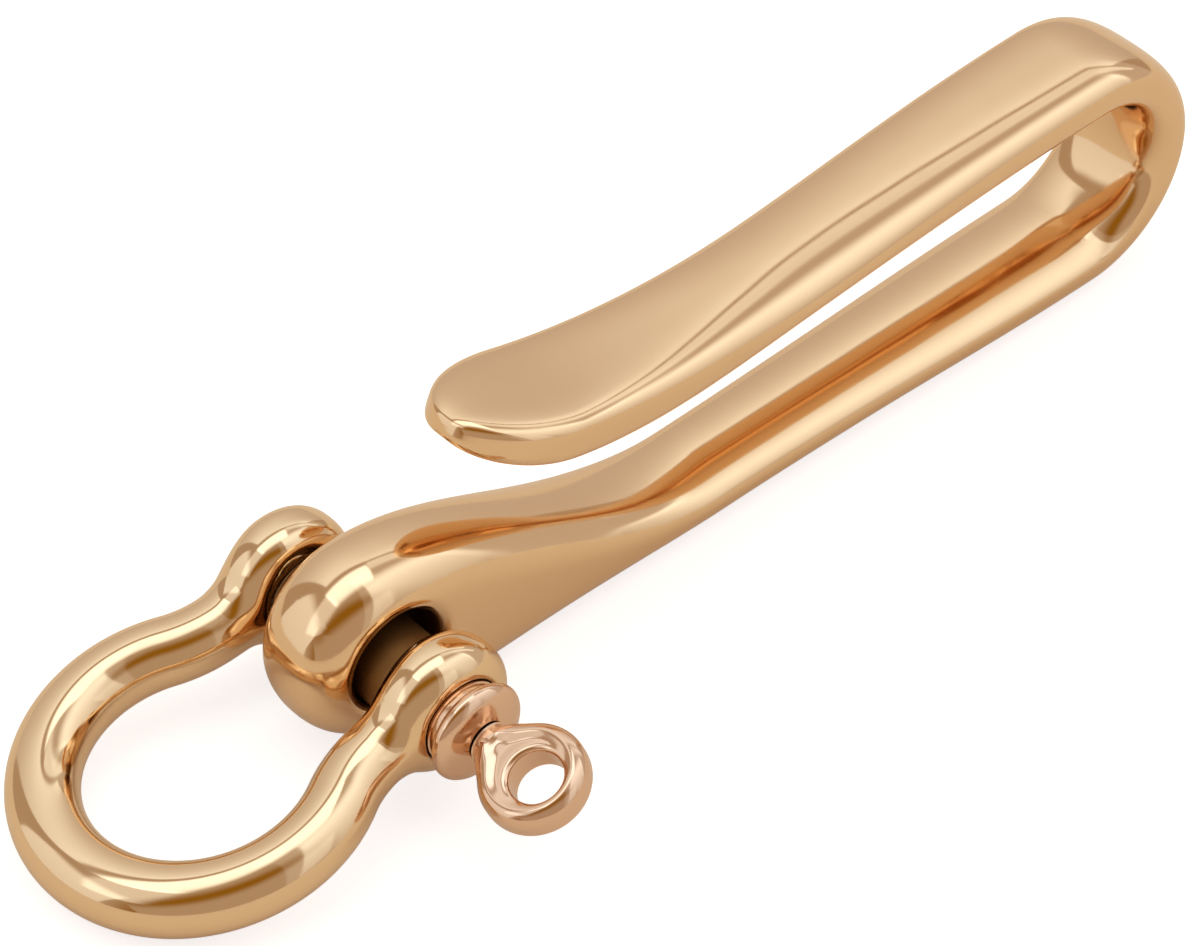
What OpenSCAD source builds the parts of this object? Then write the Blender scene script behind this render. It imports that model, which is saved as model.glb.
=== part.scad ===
// Belt key clip: a one-piece U-shaped belt hook, a bow shackle and its screw pin.
// The hook lies on its back arm, and the shackle lies over with its crown on the table.
// +X runs along the hook towards the bend, Y along the pin, +Z up. Sizes in millimetres.

/* [Eye of the hook] */
// Radius of the round eye, seen from the side
eye_r = 7; // [6.6:0.1:8]
// Width of the eye between its side faces
eye_w = 7.9; // [7:0.1:9]
// Depth of the rounding round the rim of the eye
eye_round = 3.6; // [1.6:0.1:3.9]
// Radius of the hole for the pin
bore_r = 3.7; // [3.4:0.05:4.1]
// Flare of the hole's mouths, along the hole
mouth = 1.1; // [0.5:0.1:1.4]

/* [Back arm] */
// Length of the wedge that runs down from the eye to the strip
wedge_l = 29; // [24:1:36]
// Thickness of the strip
back_t = 4.2; // [3.8:0.1:5.2]
// Width of the strip
back_w = 7.7; // [6.6:0.1:9]
// Distance from the eye's centre to the start of the bend
back_l = 64.2; // [56:0.2:76]

/* [Bend] */
// Outer radius of the bend
bend_r = 9.7; // [9:0.1:12]
// Thickness of the strip in the bend
bend_t = 4.1; // [3.8:0.1:5.4]
// Width of the strip in the bend
bend_w = 9.3; // [7:0.1:10]

/* [Front arm] */
// Length of the front arm, from the bend to its tip
front_l = 56.8; // [46:0.2:60]
// Height of the flared tip's middle
tip_h = 20.6; // [19:0.1:24]
// Slope of the tip
flare = 26; // [10:1:35]
// Thickness half way along the front arm
front_t = 4.2; // [3.8:0.1:5]
// Width half way along the front arm
front_w = 9.2; // [7:0.1:10]
// Thickness near the tip
tip_t = 3.7; // [3.4:0.1:5]
// Width near the tip
tip_w = 10.5; // [8:0.1:11]
// Length of the rounded end
tip_round = 8.8; // [3:0.1:10]

/* [Shackle] */
// Radius of the bow, to the middle of its rod
bow_r = 10.1; // [9.6:0.1:13]
// Radius of the rod at the crown
rod_r = 2.5; // [2:0.1:3]
// Radius of the rod beside the ears
waist_r = 2.3; // [1.9:0.05:2.35]
// Straight length of each leg, from the pin's axis
leg_l = 5; // [4:0.1:8]
// Radius of the curve that spreads each leg outwards
spread_r = 9.1; // [6:0.1:12]
// Radius of the ears
ear_r = 4.9; // [4.6:0.1:6]
// Thickness of the ears between their flat faces
ear_t = 4.7; // [4.7:0.1:5.6]
// Room between the hook's eye and each ear
ear_gap = 1.5; // [0.4:0.1:2.5]

/* [Screw pin] */
// Radius of the shank and of the thread's crests
shank_r = 3; // [2.6:0.05:3.2]
// Pitch of the thread
pitch = 1; // [0.7:0.05:1.25]
// Radius of the beaded collar
collar_r = 3.6; // [3.5:0.1:4.4]
// Length of the collar
collar_l = 2.4; // [2:0.1:3.2]
// Half width of the neck
neck_r = 1.75; // [1.5:0.05:2]
// Radius of the flat head
head_r = 3.7; // [3.4:0.1:4.6]
// Thickness of the flat head
head_t = 2.8; // [2.4:0.1:3.4]
// Radius of the hole in the head
hole_r = 1.85; // [1.2:0.05:2]
// Turn of the flat head about the pin's axis
head_turn = 22; // [0:1:90]

/* [Hidden] */

brass = [0.80, 0.62, 0.40];
rose_brass = [0.79, 0.57, 0.43];

// Clearances
fit = 0.07;
seat_gap = 0.05;
rest_gap = 0.12;
over = 1;

// Mesh steps, and the round faces of true holes
corner_steps = 6;
nose_steps = 8;
mouth_steps = 7;
wedge_steps = 12;
arm_steps = 8;
bend_steps = 16;
tip_steps = 7;
ear_steps = 7;
rod_points = 24;
thread_points = 24;
thread_rows = 8;
collar_steps = 10;
round_fn = 64;

// Shape of sections, rounded edges and ends: 2 is a circle or an oval, more is squarer
eye_power = 2.3;
strip_power = 2.1;
bend_power = 2.8;
paddle_power = 4;
head_power = 2.2;
tip_power = 2.05;
tip_thin_power = 0.6;
ear_power = 2.6;
collar_power = 2.4;
round_power = 2;

// Angle of the first ring of a round end, and the part of its rounding that slices use
end_start = 3;
slice_share = 0.98;
// Length of the front arm's two curve handles, as shares of its length
handle_shares = [0.44, 0.35];
// Part of the strip's half thickness that its rounding takes up
strip_share = 0.96;
// Part of the underside's rounding that the flat back face leaves
back_flat_share = 0.86;
// How fast the section grows squarer before the bend, and where it is an oval again after it
growth = 1.6;
settle = 0.4;
// Smallest ring of a closed end, as a share of the full size
pole_share = 0.06;
// Angle at which a flared mouth meets its face
mouth_angle = 20;
// Direction in which the pin lies against its hole: down, and this far towards the bow
pull_angle = 25;

// The pin's axis, resting against the wall of the hook's hole
pin_drop = bore_r - shank_r - rest_gap;
pin_x = -pin_drop * sin(pull_angle);
pin_z = eye_r - pin_drop * cos(pull_angle);

// Shackle: the ears' middles and outer faces, the bow's plane and its slope
ear_y = eye_w / 2 + ear_gap + ear_t / 2;
ear_face = ear_y + ear_t / 2;
ear_dome_share = 1.18;
ear_half = ear_t / 2 * ear_dome_share;
facing_share = 0.82;
facing_r = ear_r * facing_share;
ear_blend = 2;
ear_hole_r = shank_r + fit;
spread = acos((ear_y + spread_r) / (bow_r + spread_r));
bow_u = leg_l + (bow_r + spread_r) * sin(spread);
crown_u = bow_u + bow_r;
tilt = asin((pin_z - rod_r) / crown_u);
// Part of the rod's thickening that lies in the legs, before the bow
leg_share = 0.3;

// Pin: the thread fills the far ear and stops short of its outer face
end_gap = 0.3;
thread_l = ear_t + ear_gap / 2;
shank_l = 2 * ear_face - end_gap - thread_l;
relief = 0.6;
end_chamfer = 0.5;
// Thread form: its depth in pitches, the slope of its flanks, and where they leave the root
depth_share = 0.55;
flank_slope = 1.6;
root_share = 0.3;
thread_root = shank_r - depth_share * pitch;

// Head: the neck's round end sinks into the collar, and the disc's middle lies beyond it
neck_sink = 0.2;
neck_end = 1;
neck_z = collar_l - neck_sink + neck_end;
neck_l = 3.65;
head_z = neck_z + neck_l;
head_round = 1.15;
head_blend = 0.5;
// Radius of the core that joins the collar to the neck
core_share = 0.8;
core_r = core_share * neck_r;
hole_shift = 0.55;
rim = 0.4;

// Outer limits of the whole, for an origin in the middle of its footprint
x_max = back_l + bend_r;
x_min = pin_x - crown_u * cos(tilt) - rod_r;
y_max = bow_r + rod_r;
y_min = -(ear_face + seat_gap + head_z + head_r);
middle = [-(x_min + x_max) / 2, -(y_min + y_max) / 2, 0];

// From 0 to 1 with level ends
function ease(t) =
    let (u = min(max(t, 0), 1))
    u * u * (3 - 2 * u);

// A value that eases from a to b
function ease_from(a, b, t) = a + (b - a) * ease(t);

// The larger of two sizes, with a rounded change-over
function soft_max(a, b, blend) =
    max(a, b) + pow(max(blend - abs(a - b), 0), 2) / (4 * blend);

// Signed power of a sine or cosine, for rounded squares
function squared(v, power) = sign(v) * pow(abs(v), 2 / power);

// Height of a rounded end, 1 at its root and 0 at its tip
function dome(t, power) = pow(max(1 - pow(abs(t), power), 0), 1 / power);

// Places along a round end of a disc, from its pole towards its middle, as shares of its radius
function end_shares() = [for (k = [0:nose_steps - 1])
    cos(end_start + (90 - end_start) * k / nose_steps)];

// Section as [across the thickness, across the width]: straight walls in the middle, and rounded
// over the given depth. The inner face rounds to a line, and the outer one to a flat that takes
// up less of a larger rounding
function strip_section(half_t, half_w, depth, power, outer = 1) =
    [for (q = [0:3]) for (i = [0:corner_steps - q % 2])
        let (f = 90 * (q + i / corner_steps))
        let (st = (q == 0 || q == 3) ? 1 : -1)
        let (rise = depth * squared(cos(f), power))
        [st * (half_t - depth) + min(st > 0 ? rise / outer : rise, depth),
         half_w * squared(sin(f), power)]];

// Ring of the strip at [x, z], with its thickness along the direction n
function strip_ring(at, n, half_t, half_w, share, power, outer = 1) =
    [for (p = strip_section(half_t, half_w, share * half_t, power, outer))
        [at[0] + p[0] * n[0], p[1], at[1] + p[0] * n[1]]];

// Slice of a disc with a rounded rim at the distance d from its middle, as [outwards, across]
function disc_slice(d, disc_r, half_w, depth, power) =
    let (flat_r = disc_r - depth)
    let (least = max((abs(d) - flat_r) / depth, 0))
    let (reach = slice_share * acos(pow(least, power / 2)))
    [for (q = [0:3]) for (i = [0:corner_steps - q % 2])
        let (k = (q == 0 || q == 2) ? i : corner_steps - i)
        let (f = reach * k / corner_steps)
        let (so = (q == 0 || q == 3) ? 1 : -1)
        let (sw = q < 2 ? 1 : -1)
        let (rho = flat_r + depth * squared(cos(f), power))
        [so * sqrt(max(rho * rho - d * d, 0)), sw * half_w * squared(sin(f), power)]];

// Ring of the eye's nose at x
function nose_ring(x) =
    [for (p = disc_slice(x, eye_r, eye_w / 2, eye_round, eye_power)) [x, p[1], eye_r - p[0]]];

// Ring of the back arm at x: the wedge's top comes down to the strip
function back_ring(x) =
    let (u = x / wedge_l)
    let (g = (x - wedge_l) / (back_l - wedge_l))
    let (height = ease_from(2 * eye_r, back_t, u))
    let (width = ease_from(eye_w, back_w, u) + ease_from(0, bend_w - back_w, g))
    let (power = ease_from(eye_power, strip_power, u)
        + ease_from(0, bend_power - strip_power, 1 - (1 - g) * growth))
    strip_ring([x, height / 2], [0, -1], height / 2, width / 2,
        ease_from(eye_round / eye_r, strip_share, u), power, ease_from(1, back_flat_share, u));

// Ring of the bend, turned by f degrees from its start
function bend_ring(f) =
    let (t = ease_from(back_t, bend_t, f / 90))
    let (n = [sin(f), -cos(f)])
    strip_ring([back_l, bend_r] + (bend_r - t / 2) * n, n, t / 2, bend_w / 2, strip_share,
        bend_power, ease_from(back_flat_share, 1, f / 90));

// Middle line of the front arm, a curve with two handles, and its direction
front_a = [back_l, 2 * bend_r - bend_t / 2];
front_d = [back_l - front_l, tip_h];
front_b = front_a - [handle_shares[0] * front_l, 0];
front_c = front_d + handle_shares[1] * front_l * [cos(flare), -sin(flare)];
function front_at(t) =
    pow(1 - t, 3) * front_a + 3 * t * pow(1 - t, 2) * front_b
    + 3 * t * t * (1 - t) * front_c + pow(t, 3) * front_d;
function front_way(t) =
    pow(1 - t, 2) * (front_b - front_a) + 2 * t * (1 - t) * (front_c - front_b)
    + t * t * (front_d - front_c);

// Ring of the front arm at t, with its size drawn in by the rounded end
function front_ring(t, end) =
    let (way = front_way(t) / norm(front_way(t)))
    let (width = ease_from(bend_w, front_w, 2 * t) + ease_from(0, tip_w - front_w, 2 * t - 1))
    let (thick = ease_from(bend_t, front_t, 2 * t) + ease_from(0, tip_t - front_t, 2 * t - 1))
    let (power = ease_from(bend_power, strip_power, t / settle)
        + ease_from(0, paddle_power - strip_power, 2 * t - 1))
    let (shrink = max(dome(end, tip_power), pole_share))
    strip_ring(front_at(t), [way[1], -way[0]], thick / 2 * pow(shrink, tip_thin_power),
        width / 2 * shrink, strip_share, power);

// Share of the curve at which the rounded end starts, from the curve's speed at its tip
tip_start = 1 - tip_round / (3 * norm(front_way(1)));

// Solid skinned over a row of rings with equally many points
module skin(rings) {
    n = len(rings);
    m = len(rings[0]);
    sides = [for (i = [0:n - 2]) for (j = [0:m - 1]) each
        let (k = (j + 1) % m)
        [[i * m + j, (i + 1) * m + k, i * m + k], [i * m + j, (i + 1) * m + j, (i + 1) * m + k]]];
    first = [for (j = [0:m - 1]) j];
    last = [for (j = [0:m - 1]) n * m - 1 - j];
    polyhedron([for (r = rings) each r], concat(sides, [first, last]), convexity = 8);
}

// Turns a round cutter's axis to the pin's direction, with its middle at y
module along_pin(y) {
    translate([0, y, 0]) rotate([90, 0, 0]) children();
}

// Round hole along Z from -half to half, with flared mouths cut past both faces
module flared_hole(r, half, flare_l) {
    wall = half - flare_l;
    arc_r = flare_l / cos(mouth_angle);
    arc = [for (k = [0:mouth_steps])
        let (f = (90 - mouth_angle) * k / mouth_steps)
        [r + arc_r * (1 - cos(f)), wall + arc_r * sin(f)]];
    out = r + arc_r * (1 - sin(mouth_angle)) + over / tan(mouth_angle);
    upper = concat(arc, [[out, half + over], [0, half + over]]);
    rotate_extrude($fn = round_fn)
        polygon(concat(upper, [for (i = [len(upper) - 1:-1:0]) [upper[i][0], -upper[i][1]]]));
}

// Belt hook: eye, wedge, back arm, bend and front arm in one casting
module hook() {
    nose = [for (c = end_shares()) nose_ring(-eye_r * c)];
    wedge = [for (k = [0:wedge_steps]) back_ring(wedge_l * k / wedge_steps)];
    back = [for (k = [1:arm_steps - 1]) back_ring(wedge_l + (back_l - wedge_l) * k / arm_steps)];
    bend = [for (k = [0:bend_steps]) bend_ring(180 * k / bend_steps)];
    front = [for (k = [1:2 * arm_steps]) front_ring(tip_start * k / (2 * arm_steps), 0)];
    tip = [for (k = [1:tip_steps])
        let (s = sin(90 * k / tip_steps))
        front_ring(tip_start + (1 - tip_start) * s, s)];
    color(brass) translate(middle) difference() {
        skin(concat(nose, wedge, back, bend, front, tip));
        translate([0, 0, eye_r]) rotate([90, 0, 0]) flared_hole(bore_r, eye_w / 2, mouth);
    }
}

// Ring round the shackle's rod at [u, v], heading at the angle a from the leg's direction
function rod_ring(u, v, a, half_side, half_up, power) =
    [for (j = [0:rod_points - 1])
        let (f = -360 * j / rod_points)
        let (side = half_side * squared(cos(f), power))
        [side * sin(a) - u, v + side * cos(a), half_up * squared(sin(f), power)]];

// Ring of an ear and its leg at the distance u from the pin's axis
function ear_ring(u) =
    let (near = min(abs(u) / ear_r, 1))
    let (up = dome(near, round_power) * ear_r)
    let (grown = ease(u / ear_r))
    let (side = u < 0 ? ear_half * dome(near, ear_power) : ear_half + (waist_r - ear_half) * grown)
    rod_ring(u, ear_y, 0, max(side, pole_share * ear_half),
        u < 0 ? max(up, pole_share * ear_r) : soft_max(up, waist_r, ear_blend),
        ear_power + (round_power - ear_power) * grown);

// Rod radius along the bow, thickest at the crown
function rod_at(share) = ease_from(waist_r, rod_r, share);

// Half of the bow, from one ear's end to the crown
function half_bow() = concat(
    [for (c = end_shares()) ear_ring(-ear_r * c)],
    [for (k = [0:ear_steps]) ear_ring(leg_l * k / ear_steps)],
    [for (k = [1:ear_steps])
        let (a = spread * k / ear_steps)
        let (r = rod_at(leg_share * k / ear_steps))
        rod_ring(leg_l + spread_r * sin(a), ear_y + spread_r * (1 - cos(a)), a, r, r, round_power)],
    [for (k = [1:bend_steps])
        let (a = spread - (90 + spread) * k / bend_steps)
        let (r = rod_at(leg_share + (1 - leg_share) * k / bend_steps))
        rod_ring(bow_u - bow_r * sin(a), bow_r * cos(a), a, r, r, round_power)]);

// Shackle bow: a rod with two flattened ears, one plain and one tapped
module shackle_bow() {
    half = half_bow();
    // The other half is the first one mirrored, walked back from the crown
    mirrored = [for (i = [len(half) - 2:-1:0]) [for (p = half[i]) [p[0], -p[1], p[2]]]];
    color(brass) translate(middle + [pin_x, 0, pin_z]) rotate([0, -tilt, 0]) difference() {
        skin(concat(half, mirrored));
        along_pin(0) cylinder(r = ear_hole_r, h = 2 * (ear_face + over), center = true, $fn = round_fn);
        for (side = [-1, 1]) {
            along_pin(side * (ear_face + over / 2))
                cylinder(r = facing_r, h = over, center = true, $fn = round_fn);
            along_pin(side * (ear_face - ear_t - over / 2))
                cylinder(r = facing_r, h = over, center = true, $fn = round_fn);
        }
    }
}

// Radius of the threaded end at the angle f and the distance z from its far end
function thread_r(f, z) =
    let (turn = z / pitch - f / 360)
    let (wave = abs(2 * (turn - floor(turn)) - 1))
    let (crest = min(max(flank_slope * wave - root_share, 0), 1))
    let (fade = ease((thread_l - relief - z) / relief))
    let (full = thread_root + (shank_r - thread_root) * crest * fade)
    min(full, thread_root - end_chamfer / 2 + z);

// Threaded end of the pin, a helical thread with a relief groove before the shank
module thread() {
    rows = ceil((thread_l + relief) / pitch * thread_rows);
    skin([for (i = [0:rows])
        let (z = (thread_l + relief) * i / rows)
        [for (j = [0:thread_points - 1])
            let (f = 360 * j / thread_points)
            [thread_r(f, z) * cos(f), thread_r(f, z) * sin(f), z]]]);
}

// Ring of the neck and the flat head at z: a round end that widens into a disc
function head_ring(z) =
    let (disc = head_r * dome(min(abs(z - head_z) / head_r, 1), round_power))
    let (shrink = dome(min(max((neck_z - z) / neck_end, 0), 1), round_power))
    let (half_t = head_t / 2 * pow(max(shrink, pole_share), tip_thin_power))
    let (half_w = soft_max(neck_r * max(shrink, pole_share), disc, head_blend))
    let (shape = z < head_z
        ? strip_section(half_w, half_t, min(head_round, strip_share * half_w), head_power)
        : disc_slice(z - head_z, head_r, head_t / 2, head_round, head_power))
    [for (p = shape) [p[0], p[1], z]];

// Screw pin: threaded end, shank, beaded collar, neck and a flat head with a hole
module screw_pin() {
    bead = [for (k = [1 - collar_steps:collar_steps - 1])
        let (z = k / collar_steps)
        [max(collar_r * dome(z, collar_power), shank_r), collar_l * (z + 1) / 2]];
    neck = [for (c = end_shares()) head_ring(neck_z - neck_end * c)];
    widening = [for (k = [0:bend_steps]) head_ring(head_z - neck_l * cos(90 * k / bend_steps))];
    disc_end = [for (i = [nose_steps - 1:-1:0]) head_ring(head_z + head_r * end_shares()[i])];
    color(rose_brass) translate(middle + [pin_x, -ear_face - seat_gap, pin_z])
    rotate([90, 0, 0]) rotate([0, 0, head_turn]) difference() {
        union() {
            rotate_extrude($fn = round_fn) polygon(concat(
                [[0, -shank_l], [shank_r, -shank_l], [shank_r, 0]], bead,
                [[core_r, collar_l], [core_r, neck_z], [0, neck_z]]));
            translate([0, 0, -shank_l - thread_l]) thread();
            skin(concat(neck, widening, disc_end));
        }
        translate([0, 0, head_z + hole_shift]) rotate([90, 0, 0]) flared_hole(hole_r, head_t / 2, rim);
    }
}

hook();
shackle_bow();
screw_pin();
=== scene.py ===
# %% [markdown]
# # A brass belt key clip
#
# The clip has three pieces of metal: a U-shaped belt hook with an eye, the bow of a shackle that
# hangs in the eye, and the screw pin that closes the shackle. All three are polished brass, so the
# picture is made almost only of reflections. A reflection shows every dent of the mesh under it.
# For that reason each piece is worked out as one smooth surface from formulas, not cut together
# from simple bodies.

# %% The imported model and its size
import math

import bmesh
import bpy
import numpy as np
from mathutils import Matrix, Vector


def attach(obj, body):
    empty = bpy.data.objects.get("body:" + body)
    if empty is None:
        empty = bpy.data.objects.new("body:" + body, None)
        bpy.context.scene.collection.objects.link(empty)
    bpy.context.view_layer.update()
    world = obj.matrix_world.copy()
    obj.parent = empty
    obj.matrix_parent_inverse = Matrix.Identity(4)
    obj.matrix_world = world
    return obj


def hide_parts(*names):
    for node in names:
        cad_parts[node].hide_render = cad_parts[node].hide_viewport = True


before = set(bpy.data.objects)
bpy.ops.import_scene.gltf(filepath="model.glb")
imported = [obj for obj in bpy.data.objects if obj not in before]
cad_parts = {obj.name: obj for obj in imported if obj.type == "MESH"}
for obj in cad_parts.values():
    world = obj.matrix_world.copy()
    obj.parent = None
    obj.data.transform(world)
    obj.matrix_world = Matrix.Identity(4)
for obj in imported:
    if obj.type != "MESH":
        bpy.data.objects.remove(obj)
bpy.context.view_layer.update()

# %% [markdown]
# ## Sizes
#
# These are the named sizes of the CAD source, in millimetres, in the maker's words. The surfaces
# below are worked out in millimetres from the foot of the eye, and moved to the model's own frame,
# in metres, where each mesh is made. Keeping the names lets a change of size be made in one place.

# %% Sizes of the belt hook
MM = 0.001
EYE_R, EYE_W, EYE_ROUND, EYE_POWER = 7.0, 7.9, 3.6, 2.3
BORE_R, MOUTH_W, MOUTH_TURN = 3.7, 1.15, 62.0
WEDGE_L, BACK_T, BACK_W, BACK_L, STRIP_POWER = 29.0, 4.2, 7.7, 64.2, 2.1
BEND_R, BEND_T, BEND_W, BEND_POWER = 9.7, 4.1, 9.3, 2.8
FRONT_L, TIP_H, FLARE, FRONT_T, FRONT_W = 56.8, 20.6, 26.0, 4.2, 9.2
TIP_T, TIP_W, TIP_ROUND, HANDLES, PADDLE_POWER = 3.7, 10.5, 8.8, (0.44, 0.35), 4.0
CORNER_POWER, TIP_POWER, TIP_THIN_POWER = 2.2, 2.05, 0.6
CROWN_SHARE, CROWN_SHIFT, CROWN_END, CROWN_FADE, SIDE_POWER = 1.62, 0.6, 6, 8, 2.6
print(f"hook: eye {2 * EYE_R} mm across, back arm {BACK_L} mm, front arm {FRONT_L} mm")

# %% Sizes of the shackle and its pin
BOW_R, ROD_R, WAIST_R, LEG_L, SPREAD_R, LEG_SHARE = 10.1, 2.5, 2.3, 5.0, 9.1, 0.3
EAR_R, EAR_T, EAR_GAP, EAR_POWER, EAR_DOME_SHARE = 4.9, 4.7, 1.5, 2.6, 1.18
SHANK_R, PITCH, THREAD_SHARE, END_GAP, FIT = 3.0, 1.0, 0.55, 0.3, 0.07
COLLAR_R, COLLAR_L, COLLAR_POWER, SEAT_GAP = 3.6, 2.4, 2.1, 0.05
NECK_R, NECK_SINK, NECK_END, NECK_L = 1.75, 0.2, 1.0, 3.65
HEAD_R, HEAD_T, HEAD_ROUND, HEAD_TURN = 3.7, 2.8, 0.7, 22.0
HOLE_R, HOLE_SHIFT, RIM = 1.85, 0.55, 0.4
REST_GAP, PULL_ANGLE = 0.12, 25.0

EAR_Y = EYE_W / 2 + EAR_GAP + EAR_T / 2
EAR_FACE = EAR_Y + EAR_T / 2
NECK_Z = COLLAR_L - NECK_SINK + NECK_END
HEAD_Z = NECK_Z + NECK_L
PIN_DROP = BORE_R - SHANK_R - REST_GAP
PIN_X = -PIN_DROP * math.sin(math.radians(PULL_ANGLE))
PIN_Z = EYE_R - PIN_DROP * math.cos(math.radians(PULL_ANGLE))
SPREAD = math.acos((EAR_Y + SPREAD_R) / (BOW_R + SPREAD_R))
BOW_U = LEG_L + (BOW_R + SPREAD_R) * math.sin(SPREAD)
TILT = math.asin((PIN_Z - ROD_R) / (BOW_U + BOW_R))

# The middle of the footprint is the model's origin
X_SPAN = (PIN_X - (BOW_U + BOW_R) * math.cos(TILT) - ROD_R, BACK_L + BEND_R)
Y_SPAN = (-(EAR_FACE + SEAT_GAP + HEAD_Z + HEAD_R), BOW_R + ROD_R)
MIDDLE = np.array([-sum(X_SPAN) / 2, -sum(Y_SPAN) / 2, 0.0])
print("the eye's foot in mm from the middle of the footprint:", MIDDLE.round(4))

# %% [markdown]
# ## Shape helpers
#
# A few small functions of whole arrays: an ease from one size to the next, the rounded larger of
# two sizes, and the height of a rounded edge. The edge isn't a quarter circle. Its power is a bit
# above 2, so its curvature fades in from the flat face, and the reflection has no kink there.

# %% Shape helpers
def ease(t):
    """From 0 to 1 with level ends: 3 t squared less 2 t cubed."""
    u = np.clip(t, 0, 1)
    return u * u * (3 - 2 * u)


def between(a, b, t):
    """A size that eases from a to b."""
    return a + (b - a) * ease(t)


def soft_max(a, b, blend):
    """The larger of a and b, with a parabola over the change-over."""
    return np.maximum(a, b) + np.maximum(blend - np.abs(a - b), 0) ** 2 / (4 * blend)


def soft_min(a, b, blend):
    """The smaller of a and b, with a parabola over the change-over."""
    return -soft_max(-a, -b, blend)


def dome(t, power):
    """Height of a rounded end, 1 at its root and 0 at its tip: (1 - t^p)^(1/p)."""
    return np.maximum(1 - np.abs(t) ** power, 0) ** (1 / power)


def edge_height(inset, flat, rounding, power):
    """Height of a face at the distance inset from its outline: the flat part of the edge's wall,
    and on it a rounded edge as wide as it is high."""
    return flat + rounding * dome(np.clip(1 - inset / rounding, 0, 1), power)


def mouth_drop(r, hole_r, width, turn):
    """Fall of a face into a hole: an arc that leaves the face level, width before the wall, and
    has turned by `turn` degrees where it meets the wall."""
    arc = width / math.sin(math.radians(turn))
    s = np.clip(hole_r + width - r, 0, width)
    return arc - np.sqrt(arc * arc - s * s)


# %% [markdown]
# ## A bar with an eye
#
# The hook, the shackle's legs and the pin's head are all the same kind of thing: a bar that ends
# in a flat eye with a round hole. Such a bar could be swept and then drilled with a Boolean, but
# that leaves thin slivers round the hole, which a mirror finish shows. Here the bar is a grid of
# stations along it and heights across it. A window is left open in both side faces round the
# hole, and each window is filled with rays that run from its frame to the hole's edge.

# %% Grids and fans
EDGE_CROWDING, RAY_CROWDING = 2.5, 1.5


def columns(top, hi, lo, bottom, n_side, n_corner):
    """Heights from the top edge to the bottom edge at each station: n_corner steps that are dense
    at the edge, then n_side even steps between the window's lines, then dense steps again."""
    t = np.linspace(0, 1, n_corner + 1)[None, :-1]
    c = 1 - t ** EDGE_CROWDING
    s = np.linspace(0, 1, n_side + 1)[None, :]
    hi, lo = hi[:, None], lo[:, None]
    return np.concatenate([hi + (top[:, None] - hi) * c, hi + (lo - hi) * s,
                           lo + (bottom[:, None] - lo) * c[:, ::-1]], 1)


def closed_rings(w, y, n_edge):
    """One closed ring at each station: down the near side, across the bottom, up the far side and
    across the top. With n_edge = 0 the sides meet in a line. The third value, less the column of a
    point of the near side, is the column of the point across from it."""
    k = w.shape[1]
    if n_edge == 0:
        return (np.concatenate([w, w[:, -2:0:-1]], 1), np.concatenate([y, -y[:, -2:0:-1]], 1),
                2 * k - 2)
    t = np.linspace(1, -1, n_edge + 1)[None, 1:-1]
    pad = np.ones_like(t)
    return (np.concatenate([w, w[:, -1:] * pad, w[:, ::-1], w[:, :1] * pad], 1),
            np.concatenate([y, y[:, -1:] * t, -y[:, ::-1], -y[:, :1] * t], 1), 2 * k + n_edge - 2)


def quads(rows):
    """Faces of a grid of point numbers whose columns close on themselves."""
    turned = np.roll(rows, -1, 1)
    return np.stack([rows[:-1], turned[:-1], turned[1:], rows[1:]], -1)


def fan(ring, middle):
    """Triangles from a ring of point numbers to one point in its middle."""
    return np.stack([ring, np.roll(ring, -1), np.full_like(ring, middle)], -1)


# %% Windows and the hole's wall
def window_frame(ids, i0, i1, a, b):
    """Point numbers once round the window between the stations i0, i1 and the columns a, b."""
    step = 1 if b > a else -1
    return np.concatenate([ids[i0:i1, a], ids[i1, a:b:step], ids[i1:i0:-1, b], ids[i0, b:a:-step]])


def rays_to_hole(s, w, hole_s, hole_w, hole_r, rows):
    """Straight rays from the frame's points to the hole's edge, each to the point in its own
    direction from the hole's middle, in rows that lie denser at the hole."""
    turn = np.arctan2(w - hole_w, s - hole_s)
    t = 1 - (1 - np.linspace(0, 1, rows + 1)[1:, None]) ** RAY_CROWDING
    end_s, end_w = hole_s + hole_r * np.cos(turn), hole_w + hole_r * np.sin(turn)
    return s + t * (end_s - s), w + t * (end_w - w)


def hole_wall(rim_a, rim_b, rows=8):
    """Rows of points straight across from one rim of the hole to the other."""
    t = np.linspace(0, 1, rows + 1)[1:-1, None, None]
    return rim_a * (1 - t) + rim_b * t


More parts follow.
